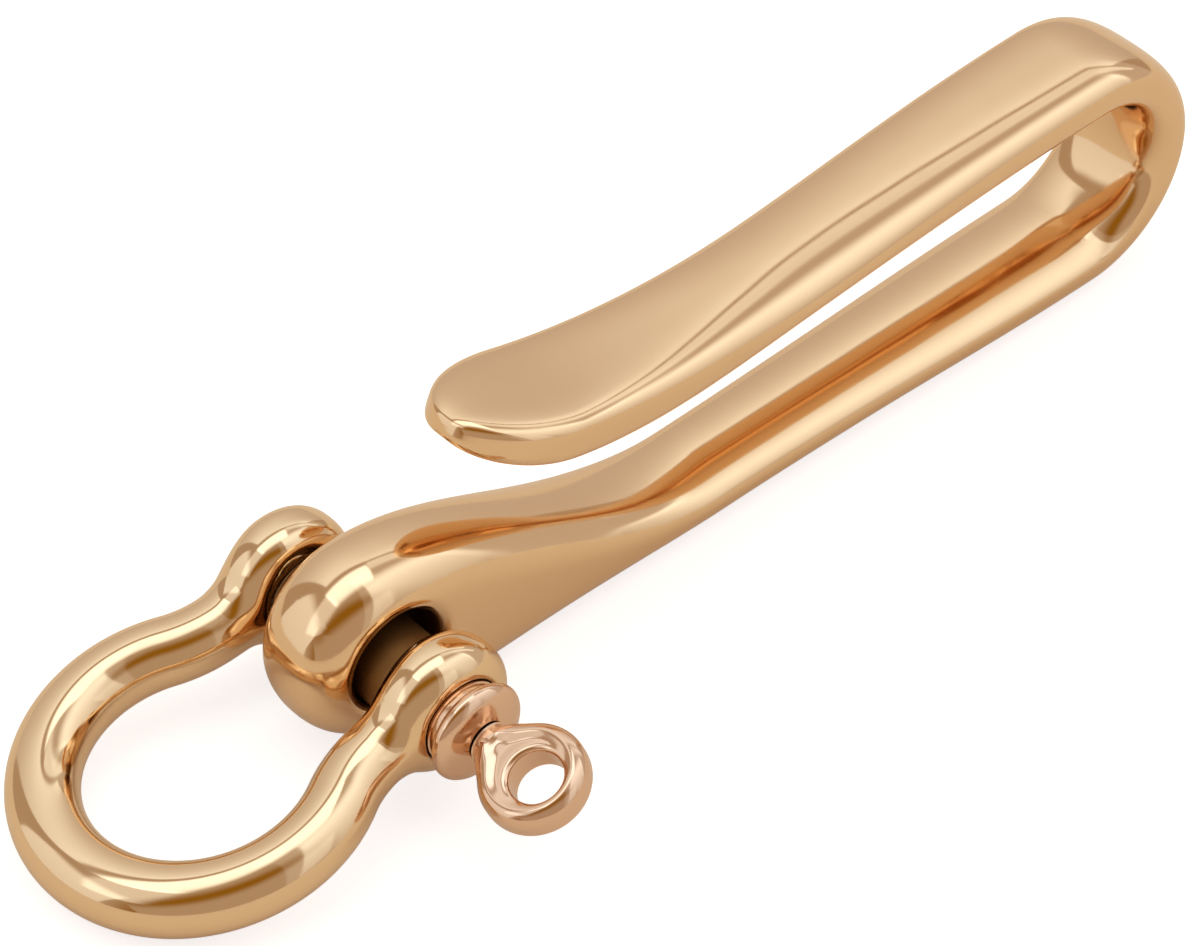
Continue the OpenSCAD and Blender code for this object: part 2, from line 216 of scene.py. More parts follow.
# %% The whole bar
def bar(stations, place, height, outline, lines, counts, hole=None, drop=None, open_end=False):
    """Points, quads and triangles of a bar. place(s, w, y) puts a point in space, height(s, w) is
    the half width of the bar, outline(s) gives its top and bottom, and lines(s) the two window
    lines. hole = (s, w, radius, first and last station of the window, rows of each ray)."""
    n_edge, n_corner, n_side = counts
    top, bottom = outline(stations)
    w = columns(top, *lines(stations), bottom, n_side, n_corner)
    s = np.broadcast_to(stations[:, None], w.shape)
    w, y, across = closed_rings(w, height(s, w) - (drop(s, w) if hole else 0), n_edge)
    s = np.broadcast_to(stations[:, None], w.shape)
    ids = np.arange(w.size).reshape(w.shape)
    keep = np.ones((len(w) - 1, w.shape[1]), bool)
    points, faces, rims = [place(s, w, y).reshape(-1, 3)], [], []
    if hole:
        *circle, first, last, rows = hole
        i0, i1 = (int(np.argmin(np.abs(stations - v))) for v in (first, last))
        a, b, count = n_corner, n_corner + n_side, w.size
        for side, start, stop in ((1, a, b), (-1, across - a, across - b)):
            keep[i0:i1, min(start, stop):max(start, stop)] = False
            frame_ids = window_frame(ids, i0, i1, start, stop)
            rs, rw = rays_to_hole(s.reshape(-1)[frame_ids], w.reshape(-1)[frame_ids], *circle, rows)
            ray = place(rs, rw, side * (height(rs, rw) - drop(rs, rw)))
            ray_ids = count + np.arange(rs.size).reshape(rows, -1)
            count += rs.size
            points.append(ray.reshape(-1, 3))
            faces.append(quads(np.concatenate([frame_ids[None], ray_ids])).reshape(-1, 4))
            rims.append((ray_ids[-1:], ray[-1]))
        wall = hole_wall(rims[0][1], rims[1][1])
        wall_ids = count + np.arange(wall[..., 0].size).reshape(len(wall), -1)
        points.append(wall.reshape(-1, 3))
        faces.append(quads(np.concatenate([rims[0][0], wall_ids, rims[1][0]])).reshape(-1, 4))
    faces.append(quads(ids)[keep])
    # Each end is so small that triangles to its middle close it
    points, faces = np.concatenate(points), np.concatenate(faces)
    ends = [ids[0]] if open_end else [ids[0], ids[-1]]
    fans = np.concatenate([fan(ring, len(points) + i) for i, ring in enumerate(ends)])
    middles = [points[ring].mean(0, keepdims=True) for ring in ends]
    return np.concatenate([points] + middles), faces, fans


# %% [markdown]
# ## From points to pieces
#
# One function turns points and faces into a mesh. It joins points that fall together, such as the
# seam of a mirrored half, turns all faces outwards, and marks the edges that the maker left crisp.
# The object stays at the origin, because the model's frame is in the mesh.

# %% Mesh maker
def make_piece(name, points, faces, fans, crisp=35.0, join=0.0004):
    """A closed, smooth-shaded piece. Edges that turn by more than crisp degrees stay sharp."""
    mesh = bpy.data.meshes.new(name)
    mesh.from_pydata((points + MIDDLE) * MM, [], faces.tolist() + fans.tolist())
    work = bmesh.new()
    work.from_mesh(mesh)
    bmesh.ops.remove_doubles(work, verts=work.verts, dist=join * MM)
    bmesh.ops.dissolve_degenerate(work, edges=work.edges, dist=join * MM / 4)
    bmesh.ops.recalc_face_normals(work, faces=work.faces)
    loose = sum(1 for e in work.edges if not e.is_manifold)
    volume = work.calc_volume(signed=True) / MM ** 3
    if volume < 0:
        bmesh.ops.reverse_faces(work, faces=work.faces)
    work.to_mesh(mesh)
    work.free()
    mesh.shade_smooth()
    mesh.set_sharp_from_angle(angle=math.radians(crisp))
    piece = bpy.data.objects.new(name, mesh)
    bpy.context.scene.collection.objects.link(piece)
    print(f"{name}: {len(mesh.vertices)} points, {len(mesh.polygons)} faces, "
          f"{abs(volume):.0f} mm3, {loose} open edges")
    return piece


# %% [markdown]
# ## The belt hook
#
# The real hook is one casting: a thick eye, a wedge that thins to a strip, and the strip bent
# round to a springy front arm with a flared, rounded tip. So it is one bar. Its stations run from
# the nose of the eye along the back arm, round the bend and along the front arm to the tip.

# %% Path of the hook
BEND_MID = BEND_R - BEND_T / 2
S_BEND, S_FRONT = BACK_L, BACK_L + math.pi * BEND_MID
S_END = S_FRONT + FRONT_L
ARM_A = np.array([BACK_L, 2 * BEND_R - BEND_T / 2])
ARM_D = np.array([BACK_L - FRONT_L, TIP_H])
ARM_B = ARM_A - [HANDLES[0] * FRONT_L, 0]
FLARE_WAY = np.array([math.cos(math.radians(FLARE)), -math.sin(math.radians(FLARE))])
ARM_C = ARM_D + HANDLES[1] * FRONT_L * FLARE_WAY
TIP_START = 1 - TIP_ROUND / (3 * float(np.linalg.norm(ARM_D - ARM_C)))
S_TIP = S_FRONT + FRONT_L * TIP_START
print(f"hook's path: bend from {S_BEND:.1f}, front arm from {S_FRONT:.1f}, tip at {S_END:.1f} mm")


# %% Section of the hook
def hook_section(s):
    """Half thickness, half width, depth of the rounding and its power at the station s. The eye is
    a disc with a round rim, the strip is an oval all through, and the tip is a flatter paddle. The
    shares u, g, turn and t run along the wedge, the arm after it, the bend and the front arm. Each
    size eases over its own part of one: 2 t is the first half, and 2 t - 1 the second half."""
    u, g = s / WEDGE_L, (s - WEDGE_L) / (BACK_L - WEDGE_L)
    turn, t = (s - S_BEND) / (S_FRONT - S_BEND), np.clip((s - S_FRONT) / FRONT_L, 0, 1)
    thick = between(2 * EYE_R, BACK_T, u) + between(0, BEND_T - BACK_T, 2 * turn)
    thick = thick + between(0, FRONT_T - BEND_T, 2 * t) + between(0, TIP_T - FRONT_T, 2 * t - 1)
    wide = between(EYE_W, BACK_W, u) + between(0, BEND_W - BACK_W, g)
    wide = wide + between(0, FRONT_W - BEND_W, 2 * t) + between(0, TIP_W - FRONT_W, 2 * t - 1)
    shrink = np.maximum(dome(np.clip((t - TIP_START) / (1 - TIP_START), 0, 1), TIP_POWER), 0.002)
    half_t, half_w = thick / 2 * shrink ** TIP_THIN_POWER, wide / 2 * shrink
    depth = between(EYE_ROUND / EYE_R, 1, u) * half_t
    power = between(EYE_POWER, STRIP_POWER, u) + between(0, BEND_POWER - STRIP_POWER, 1.6 * g - 0.6)
    power = power + between(0, STRIP_POWER - BEND_POWER, 2.5 * t)
    power = power + between(0, PADDLE_POWER - STRIP_POWER, 2.2 * t - 0.9)
    return half_t, half_w, depth, power


places = np.array([0, WEDGE_L, S_FRONT, S_TIP])
print("half thickness at eye, strip, front arm and tip:", hook_section(places)[0].round(2), "mm")


# %% Side view and width of the hook
def hook_centre(s):
    """Height of the bar's middle over the eye's axis. It stays level once the wedge has ended."""
    return hook_section(np.clip(s, 0, WEDGE_L))[0] - EYE_R


def hook_outline(s):
    """Top and bottom of the side view: a round nose, then the wedge and the strip."""
    half = np.where(s < 0, np.sqrt(np.maximum(EYE_R ** 2 - s * s, 0)), hook_section(s)[0])
    return hook_centre(s) + half, hook_centre(s) - half


def hook_crown(s):
    """How much of the polished crown the back arm's inner face has: none at the eye and round the
    bend, all of it in between."""
    return ease(1.6 * s / WEDGE_L - 0.6) * ease((S_BEND + CROWN_END - s) / CROWN_FADE)


def hook_height(s, w):
    """Half width at a point of the side view: half_w (1 - (1 - inset / depth)^power)^(1/power). Up
    to the eye's axis the inset is measured from the round nose, after it from the top and bottom.
    The crowned inner face is an arc, sqrt(2 r d - d^2) at the depth d, and the smaller counts."""
    half_t, half_w, depth, power = hook_section(np.maximum(s, 0))
    v = w - hook_centre(s)
    inset = half_t - np.where(s < 0, np.hypot(v, s), np.abs(v))
    y = half_w * dome(np.clip(1 - inset / depth, 0, 1), power)
    d = np.clip(half_t - v, 0, half_t)
    arc = np.sqrt(np.maximum(2 * CROWN_SHARE * half_w * d - d * d, 0))
    side = half_w * dome(np.clip(v / half_t, 0, 1), SIDE_POWER)
    crowned = np.maximum(soft_min(side, arc, 0.3 * np.clip(arc, 0.02, 1)), 0)
    return y + (crowned - y) * hook_crown(s) * (v > 0)


print("half width at the eye's middle:", hook_height(np.zeros(1), np.zeros(1)).round(2), "mm")


# %% Places on the hook
def hook_place(s, w, y):
    """The point in space: straight along the back arm, round the bend by its angle, and along the
    front arm by a cubic curve with two handles."""
    v = w - hook_centre(s)
    half_t = hook_section(np.maximum(s, 0))[0]
    y = y + CROWN_SHIFT * hook_crown(s) * np.clip(v / half_t, 0, 1) ** 1.5
    f = np.clip((s - S_BEND) / (S_FRONT - S_BEND), 0, 1) * math.pi
    mid_r = BEND_R - between(BACK_T, BEND_T, 2 * f / math.pi) / 2
    straight = hook_centre(s) + EYE_R
    x = np.where(s < S_BEND, s, BACK_L + mid_r * np.sin(f))
    z = np.where(s < S_BEND, straight, BEND_R - mid_r * np.cos(f))
    nx, nz = np.where(s < S_BEND, 0, -np.sin(f)), np.where(s < S_BEND, 1, np.cos(f))
    t = np.clip((s - S_FRONT) / FRONT_L, 0, 1)[..., None]
    left = 1 - t
    arm = left ** 3 * ARM_A + 3 * t * left ** 2 * ARM_B + 3 * t * t * left * ARM_C + t ** 3 * ARM_D
    way = left ** 2 * (ARM_B - ARM_A) + 2 * t * left * (ARM_C - ARM_B) + t * t * (ARM_D - ARM_C)
    way = way / np.linalg.norm(way, axis=-1, keepdims=True)
    front = s >= S_FRONT
    x, z = np.where(front, arm[..., 0], x), np.where(front, arm[..., 1], z)
    nx, nz = np.where(front, -way[..., 1], nx), np.where(front, way[..., 0], nz)
    return np.stack([x + v * nx, y, z + v * nz], -1)


tip_end = hook_place(np.array([S_END]), hook_centre(np.array([S_END])), np.zeros(1))[0]
print("end of the front arm, from the eye's foot:", tip_end.round(2), "mm")

# %% Build the hook
HOOK_WINDOW, NOSE_SHARE, ARM_SHARE, WINDOW_FADE = 4.5, 0.92, 0.35, 8.0


def hook_lines(s):
    """The two window lines: level past the hole, drawn in at the nose, then along the edges."""
    half_t = hook_section(s)[0]
    nose = np.minimum(HOOK_WINDOW, NOSE_SHARE * np.sqrt(np.maximum(EYE_R ** 2 - s * s, 0)))
    flat = ARM_SHARE * half_t
    t = (s - HOOK_WINDOW) / WINDOW_FADE
    return (np.where(s < 0, nose, between(HOOK_WINDOW, hook_centre(s) + flat, t)),
            np.where(s < 0, -nose, between(-HOOK_WINDOW, hook_centre(s) - flat, t)))


def hook_drop(s, w):
    """Fall of both side faces into the mouths of the eye's hole."""
    return mouth_drop(np.hypot(s, w), BORE_R, MOUTH_W, MOUTH_TURN)


nose = -EYE_R * np.cos(np.radians(np.concatenate([[0.7, 1.5, 3.0], np.arange(5, 90, 2.0)])))
nose[np.argmin(np.abs(nose + HOOK_WINDOW))] = -HOOK_WINDOW
runs = [(0, HOOK_WINDOW, 20), (HOOK_WINDOW, 12, 26), (12, WEDGE_L, 44), (WEDGE_L, S_BEND, 64),
        (S_BEND, S_FRONT, 110), (S_FRONT, S_TIP, 120)]
stations = [nose] + [np.linspace(a, b, n + 1)[i > 0:] for i, (a, b, n) in enumerate(runs)]
tip = np.sin(np.radians(np.concatenate([np.arange(2, 89, 2.0), [89.2]])))
stations.append(S_TIP + (S_END - S_TIP) * tip)
hook_mesh = bar(np.concatenate(stations), hook_place, hook_height, hook_outline, hook_lines,
                counts=(0, 22, 20), hole=(0.0, 0.0, BORE_R, -HOOK_WINDOW, HOOK_WINDOW, 12),
                drop=hook_drop)
belt_hook = make_piece("belt_hook", *hook_mesh)
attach(belt_hook, "belt_hook")
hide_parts("hook")

# %% [markdown]
# ## The shackle's bow
#
# A bow shackle starts as a round rod. Its ends are upset and forged to round ears, it is bent to
# a U that spreads into a bow, and the ears are faced and drilled. Half of it is one bar: an ear,
# a straight leg, an outward curve and a quarter of the bow. The other half is its mirror image.

# %% Path of the shackle's bow
S_CURVE, S_BOW = LEG_L, LEG_L + SPREAD_R * SPREAD
S_CROWN = S_BOW + BOW_R * (math.pi / 2 + SPREAD)
FILLET_R = 3.0
FILLET_S = math.sqrt((EAR_R + FILLET_R) ** 2 - (WAIST_R + FILLET_R) ** 2)
print(f"half bow: curve from {S_CURVE:.1f} mm, bow from {S_BOW:.1f} mm, crown at {S_CROWN:.1f} mm")

# %% Section of the shackle's bow
FACED_L, FACED_BLEND = 2.5, 0.25


def bow_section(s):
    """Half height, half width and power of the rod's section at the station s. In the side view a
    fillet of FILLET_R joins the ear's circle to the leg, and ends at the station FILLET_S."""
    on_leg = LEG_SHARE * (s - S_CURVE) / (S_BOW - S_CURVE)
    on_bow = LEG_SHARE + (1 - LEG_SHARE) * (s - S_BOW) / (S_CROWN - S_BOW)
    rod = between(WAIST_R, ROD_R, np.where(s < S_BOW, on_leg, on_bow))
    near, run = np.clip(s / EAR_R, 0, 1), np.clip(FILLET_S - s, 0, FILLET_R)
    fillet = FILLET_R - np.sqrt(np.maximum(FILLET_R ** 2 - run ** 2, 0))
    up = np.where(s < FILLET_S * EAR_R / (EAR_R + FILLET_R), EAR_R * dome(near, 2), rod + fillet)
    side = between(EAR_T / 2 * EAR_DOME_SHARE, WAIST_R, near) + rod - WAIST_R
    power = between(EAR_POWER, 2, near)
    return up, side, power


def bow_outline(s):
    """Top and bottom of the side view: a round ear, and a rod after it."""
    up = np.where(s < 0, np.sqrt(np.maximum(EAR_R ** 2 - s * s, 0)), bow_section(s)[0])
    return up, -up


def bow_height(s, w):
    """Half width: a flattened dome over the ear, faced to the ear's thickness up to the station
    FACED_L, then a round rod."""
    up, side, power = bow_section(np.maximum(s, 0))
    share = np.where(s < 0, np.hypot(w, s) / EAR_R, np.abs(w) / up)
    y = side * np.maximum(1 - np.clip(share, 0, 1) ** power, 0) ** (1 / power)
    return soft_min(y, EAR_T / 2 + ease((s - FACED_L) / FACED_L), FACED_BLEND)


places = np.array([0, S_CURVE, S_CROWN])
print("half height at ear, leg and crown:", bow_section(places)[0].round(2), "mm")


# %% Places on the shackle's bow
def shackle_to_clip(u, side, up):
    """From the shackle's own directions, out along its legs, across and up, to the clip's frame:
    tilted until the crown lies on the table, and moved to the pin's axis."""
    c, k = math.cos(TILT), math.sin(TILT)
    return np.stack([PIN_X - u * c - up * k, side, PIN_Z - u * k + up * c], -1)


def bow_place(s, w, y):
    """The point in space: straight leg, outward arc and bow, each by its own angle."""
    a = np.clip((s - S_CURVE) / SPREAD_R, 0, SPREAD)
    b = SPREAD - np.clip((s - S_BOW) / BOW_R, 0, math.pi / 2 + SPREAD)
    u = np.where(s < S_CURVE, s, LEG_L + SPREAD_R * np.sin(a))
    v = np.where(s < S_CURVE, EAR_Y, EAR_Y + SPREAD_R * (1 - np.cos(a)))
    past = s > S_BOW
    u, v = np.where(past, BOW_U - BOW_R * np.sin(b), u), np.where(past, BOW_R * np.cos(b), v)
    turn = np.where(past, b, np.where(s < S_CURVE, 0, a))
    return shackle_to_clip(u - y * np.sin(turn), v + y * np.cos(turn), w)


crown = bow_place(np.array([S_CROWN]), np.zeros(1), np.zeros(1))[0]
print("middle of the rod at the crown, from the eye's foot:", crown.round(2), "mm")

# %% Build the shackle's bow
EAR_HOLE_R = SHANK_R + FIT
EAR_WINDOW, ROD_SHARE, EDGE_SHARE, EAR_MOUTH = 3.25, 0.7, 0.9, (0.3, 55)


def bow_lines(s):
    """The two window lines: past the hole, drawn in at the ear's end, then on the rod."""
    half = bow_outline(s)[0]
    c = np.where(s < 0, EAR_WINDOW, between(EAR_WINDOW, ROD_SHARE * half, (s - EAR_WINDOW) / 4))
    c = np.minimum(c, EDGE_SHARE * half)
    return c, -c


def bow_drop(s, w):
    """A fine chamfer round both mouths of the ear's hole."""
    return mouth_drop(np.hypot(s, w), EAR_HOLE_R, *EAR_MOUTH)


ear_end = -EAR_R * np.cos(np.radians(np.concatenate([[0.7, 1.5, 3.0], np.arange(6, 90, 3.0)])))
ear_end[np.argmin(np.abs(ear_end + EAR_WINDOW))] = -EAR_WINDOW
runs = [(0, EAR_WINDOW, 18), (EAR_WINDOW, S_CURVE, 10), (S_CURVE, S_BOW, 26), (S_BOW, S_CROWN, 80)]
stations = [ear_end] + [np.linspace(a, b, n + 1)[i > 0:] for i, (a, b, n) in enumerate(runs)]
half, faces, fans = bar(
    np.concatenate(stations), bow_place, bow_height, bow_outline, bow_lines, counts=(0, 12, 18),
    hole=(0.0, 0.0, EAR_HOLE_R, -EAR_WINDOW, EAR_WINDOW, 8), drop=bow_drop, open_end=True)
both = [np.concatenate([part, part[:, ::-1] + len(half)]) for part in (faces, fans)]
shackle = make_piece("shackle", np.concatenate([half, half * [1, -1, 1]]), *both)
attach(shackle, "shackle")
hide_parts("shackle_bow")

# %% [markdown]
# ## The screw pin
#
# The pin is turned from a bar: a threaded end, a plain shank and a beaded collar. Its head is
# forged flat, with a raised border and a hole for a cord or a tommy bar. The turned part is one
# surface of revolution whose radius follows the thread, and the head is a bar with an eye again.
# The two are joined with a Boolean, because they meet in a real, crisp corner.

# %% Turned part of the pin
THREAD_L = EAR_T + EAR_GAP / 2
SHANK_L = 2 * EAR_FACE - END_GAP - THREAD_L
ROOT_R = SHANK_R - THREAD_SHARE * PITCH
RELIEF, CHAMFER, SHOULDER_ROUND = 0.6, 0.5, 0.15
CORE_R = NECK_R - HEAD_ROUND / 2
OVERLAP, POLE_R, SHANK_ENDS, CORE_ROOT = 0.02, 0.02, (0.4, -0.05), 0.1
BEAD_SEAT, BEAD_END, BEAD_LIP = 0.1, 0.985, 0.3
THREAD_FLANK, THREAD_FLAT = 1.6, 0.3
ROUND_POINTS, ROWS_A_PITCH = 96, 16
print(f"pin: thread {THREAD_L:.2f} mm, shank {SHANK_L:.2f} mm, root radius {ROOT_R:.2f} mm")


def pin_place(z, across, out):
    """From the pin's own directions, z out of the shackle, across the flat head and out of its
    face, to the clip's frame."""
    c, k = math.cos(math.radians(HEAD_TURN)), math.sin(math.radians(HEAD_TURN))
    return np.stack([PIN_X + across * c - out * k, -EAR_FACE - SEAT_GAP - z,
                     PIN_Z + across * k + out * c], -1)


def thread_radius(f, z):
    """Radius of the threaded end at the angle f and the distance z from its far end: a flat-topped
    wave once a pitch, which climbs by one pitch a turn and fades into the relief groove."""
    turn = z / PITCH - f / (2 * math.pi)
    wave = np.abs(2 * (turn - np.floor(turn)) - 1)
    crest = ease(THREAD_FLANK * wave - THREAD_FLAT) * ease((THREAD_L - RELIEF - z) / RELIEF)
    return np.minimum(ROOT_R + (SHANK_R - ROOT_R) * crest, ROOT_R - CHAMFER / 2 + z)


def rows(r, z):
    """Rows of a profile, each a radius and a place along the pin."""
    return np.stack(np.broadcast_arrays(r, z), -1)


def pin_profile():
    """The profile after the thread: a rounded shoulder, the shank, the bead, whose seat is as wide
    as the shank, and a thin core that ends inside the head's neck."""
    a = np.linspace(0, math.pi / 2, 6)
    shoulder = rows(SHANK_R - SHOULDER_ROUND + SHOULDER_ROUND * np.sin(a),
                    -SHANK_L + SHOULDER_ROUND - SHOULDER_ROUND * np.cos(a) + OVERLAP)
    t = np.linspace(-BEAD_END, BEAD_END, 40)
    bead = np.maximum(COLLAR_R * dome(t, COLLAR_POWER), np.where(t < 0, SHANK_R - BEAD_SEAT, 0))
    shank = rows(SHANK_R, np.linspace(-SHANK_L + SHANK_ENDS[0], SHANK_ENDS[1], 24))
    lip = rows(np.linspace(bead[-1] - BEAD_LIP, CORE_R + CORE_ROOT, 5), COLLAR_L + OVERLAP)
    core = rows(CORE_R, np.linspace(COLLAR_L + CORE_ROOT, NECK_Z, 4))
    return np.concatenate([rows([ROOT_R], -SHANK_L), shoulder, shank,
                           rows(bead, COLLAR_L * (t + 1) / 2), lip, core, rows([POLE_R], NECK_Z)])


def pin_turned():
    """Points, quads and triangles of the turned part: profile rows along the pin, each a ring of
    points round it. In the thread's rows the radius also changes round the ring."""
    f = np.linspace(0, 2 * math.pi, ROUND_POINTS + 1)[None, :-1]
    end_z = -SHANK_L - THREAD_L
    z = np.arange(0, THREAD_L, PITCH / ROWS_A_PITCH)
    disc = rows(np.linspace(POLE_R, ROOT_R - CHAMFER / 2, 8)[:-1], end_z)
    rest = pin_profile()
    r = np.concatenate([disc[:, :1] + 0 * f, thread_radius(f, z[:, None]), rest[:, :1] + 0 * f])
    z = np.concatenate([disc[:, 1], end_z + z, rest[:, 1]])[:, None] + 0 * f
    points = pin_place(z, r * np.cos(f), r * np.sin(f)).reshape(-1, 3)
    ids = np.arange(r.size).reshape(r.shape)
    middles = np.array([points[ids[0]].mean(0), points[ids[-1]].mean(0)])
    fans = np.concatenate([fan(ids[0], r.size), fan(ids[-1], r.size + 1)])
    return np.concatenate([points, middles]), quads(ids).reshape(-1, 4), fans


# %% Flat head of the pin
EDGE_ROUND, RIDGE_IN, RIDGE_W, DISH = 1.15, 0.65, 0.85, 0.26
RIM_TURN, RIM_SHARE, NECK_BLEND, NECK_RUN = 70, 0.3, 1.2, 0.75
HEAD_WINDOW = 2.15
HOLE_Z = HEAD_Z + HOLE_SHIFT
print(f"head: {2 * HEAD_R} mm across, its hole at {HOLE_Z:.2f} mm from the seat")


def head_outline(z):
    """Half width of the head: the neck's round end, and a disc that grows out of it."""
    disc = HEAD_R * dome(np.clip((z - HEAD_Z) / HEAD_R, -1, 1), 2)
    neck = NECK_R * dome(np.clip((NECK_Z - z) / NECK_END, 0, 1), 2)
    half = np.where(z < HEAD_Z, soft_max(neck, disc, NECK_BLEND), disc)
    return half, -half


def head_inset(z, w):
    """Distance of a point from the head's outline: the larger of its depths in the disc and in
    the neck, blended."""
    disc = HEAD_R - np.hypot(z - HEAD_Z, w)
    over = np.maximum(NECK_Z + NECK_RUN - z, 0) * NECK_R / (NECK_END + NECK_RUN)
    neck = NECK_R - np.hypot(over, w)
    return np.where(z < HEAD_Z, soft_max(neck, disc, NECK_BLEND), disc)


def head_height(z, w):
    """Half thickness: a well rounded edge, and a face that is dished inside the ridge it leaves."""
    inset = head_inset(z, w)
    y = edge_height(inset, HEAD_T / 2 - EDGE_ROUND, EDGE_ROUND, CORNER_POWER)
    return y - DISH * ease((inset - RIDGE_IN) / RIDGE_W)


def head_drop(z, w):
    """Fall of the face into the hole over a rounded rim, less a faint swelling round it."""
    r = np.hypot(z - HOLE_Z, w)
    swelling = DISH * RIM_SHARE * (1 - ease((r - HOLE_R - RIM) / RIDGE_W))
    return mouth_drop(r, HOLE_R, RIM, RIM_TURN) - swelling


def head_lines(z):
    """The two window lines: past the hole, and drawn in at both ends."""
    c = np.minimum(HEAD_WINDOW, EDGE_SHARE * head_outline(z)[0])
    return c, -c


# %% Build the pin
end = np.cos(np.radians(np.concatenate([[1.5, 3.0], np.arange(6, 90, 4.0)])))
first, last = HOLE_Z - HEAD_WINDOW, HOLE_Z + HEAD_WINDOW
outer = HEAD_Z + HEAD_R * np.sin(np.radians(np.concatenate([np.arange(2, 89, 2.5), [89.3]])))
stations = np.concatenate([NECK_Z - NECK_END * end, np.linspace(NECK_Z, first, 20)[:-1],
                           np.linspace(first, last, 37), outer[outer > last + 0.02]])
pin_head = make_piece("pin_head", *bar(
    stations, pin_place, head_height, head_outline, head_lines, counts=(6, 16, 36),
    hole=(HOLE_Z, 0.0, HOLE_R, first, last, 10), drop=head_drop))
screw_pin = make_piece("pin", *pin_turned())
joint = screw_pin.modifiers.new("head", "BOOLEAN")
joint.operation, joint.solver, joint.object = "UNION", "EXACT", pin_head
bpy.context.view_layer.update()
with_head = screw_pin.evaluated_get(bpy.context.evaluated_depsgraph_get())
joined = bpy.data.meshes.new_from_object(with_head)
screw_pin.modifiers.clear()
screw_pin.data = joined
joined.set_sharp_from_angle(angle=math.radians(30))
bpy.data.objects.remove(pin_head)
print("pin:", len(joined.vertices), "points after the head is joined")
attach(screw_pin, "pin")
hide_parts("screw_pin")

# %% [markdown]
# ## Polished brass
#
# Brass is a bare metal, so nearly all its colour is in its reflections. Hand polishing leaves a
# faint waviness, fine lines and tiny changes of tone. A picture of real metal could give these,
# but noise in Object coordinates needs no seams and fits any scale. One node group makes them
# once, and each piece has its own brass tone on top.

# %% Node helpers
def node(tree, kind, inputs=None, **values):
    """A new node of this kind, with its properties and its inputs set."""
    made = tree.nodes.new(kind)
    for key, value in values.items():
        setattr(made, key, value)
    for key, value in (inputs or {}).items():
        made.inputs[key].default_value = value
    return made


def link(tree, *pairs):
    """Links, each from an output to an input."""
    for start, end in pairs:
        tree.links.new(start, end)


# %% Node group of the hand polish
polish = bpy.data.node_groups.new("hand_polish", "ShaderNodeTree")
for title, kind, value in (("Tone", "NodeSocketColor", (0.8, 0.6, 0.4, 1)),
                           ("Deep Tone", "NodeSocketColor", (0.7, 0.5, 0.3, 1)),
                           ("Gloss", "NodeSocketFloat", 0.1)):
    polish.interface.new_socket(name=title, in_out="INPUT", socket_type=kind).default_value = value
for title, kind in (("Color", "NodeSocketColor"), ("Roughness", "NodeSocketFloat"),
                    ("Height", "NodeSocketFloat")):
    polish.interface.new_socket(name=title, in_out="OUTPUT", socket_type=kind)
given, made = node(polish, "NodeGroupInput"), node(polish, "NodeGroupOutput")
place = node(polish, "ShaderNodeTexCoord")
# Three sizes of noise: waves of about 7 mm, clouds of 2 mm and lines of 0.4 mm
wave, cloud, lines = (node(polish, "ShaderNodeTexNoise", {"Scale": scale, "Detail": detail})
                      for scale, detail in ((140, 1), (420, 3), (2600, 2)))
tone = node(polish, "ShaderNodeMix", data_type="RGBA")
rough = node(polish, "ShaderNodeMath", {1: 0.06}, operation="MULTIPLY_ADD")
fine = node(polish, "ShaderNodeMath", {1: 0.004}, operation="MULTIPLY_ADD")
link(polish, *((place.outputs["Object"], noise.inputs["Vector"]) for noise in (wave, cloud, lines)))
link(polish, (cloud.outputs["Fac"], tone.inputs["Factor"]),
     (given.outputs["Tone"], tone.inputs["A"]), (given.outputs["Deep Tone"], tone.inputs["B"]),
     (tone.outputs["Result"], made.inputs["Color"]), (cloud.outputs["Fac"], rough.inputs[0]),
     (given.outputs["Gloss"], rough.inputs[2]), (rough.outputs[0], made.inputs["Roughness"]),
     (lines.outputs["Fac"], fine.inputs[0]), (wave.outputs["Fac"], fine.inputs[2]),
     (fine.outputs[0], made.inputs["Height"]))
print("hand polish:", len(polish.nodes), "nodes")


# %% [markdown]
# ## Painted shade in the holes
#
# The walls of the holes and the middle of the pin lie in shade between the pieces. Their colour is
# darkened there as painted shade, and their roughness is raised too. Such a place could have its
# own material, but then its edge is a hard line. Here the distance from a point or an axis makes a
# mask, which mixes the painted shade tone in and adds roughness.

# %% Materials of the three pieces
# The dark tone is painted shade for the walls of the holes and the pin's middle, and the roughness
# is raised there as well
SHADE_TONE, DULL_ROUGHNESS = (0.27, 0.13, 0.04, 1), 0.4


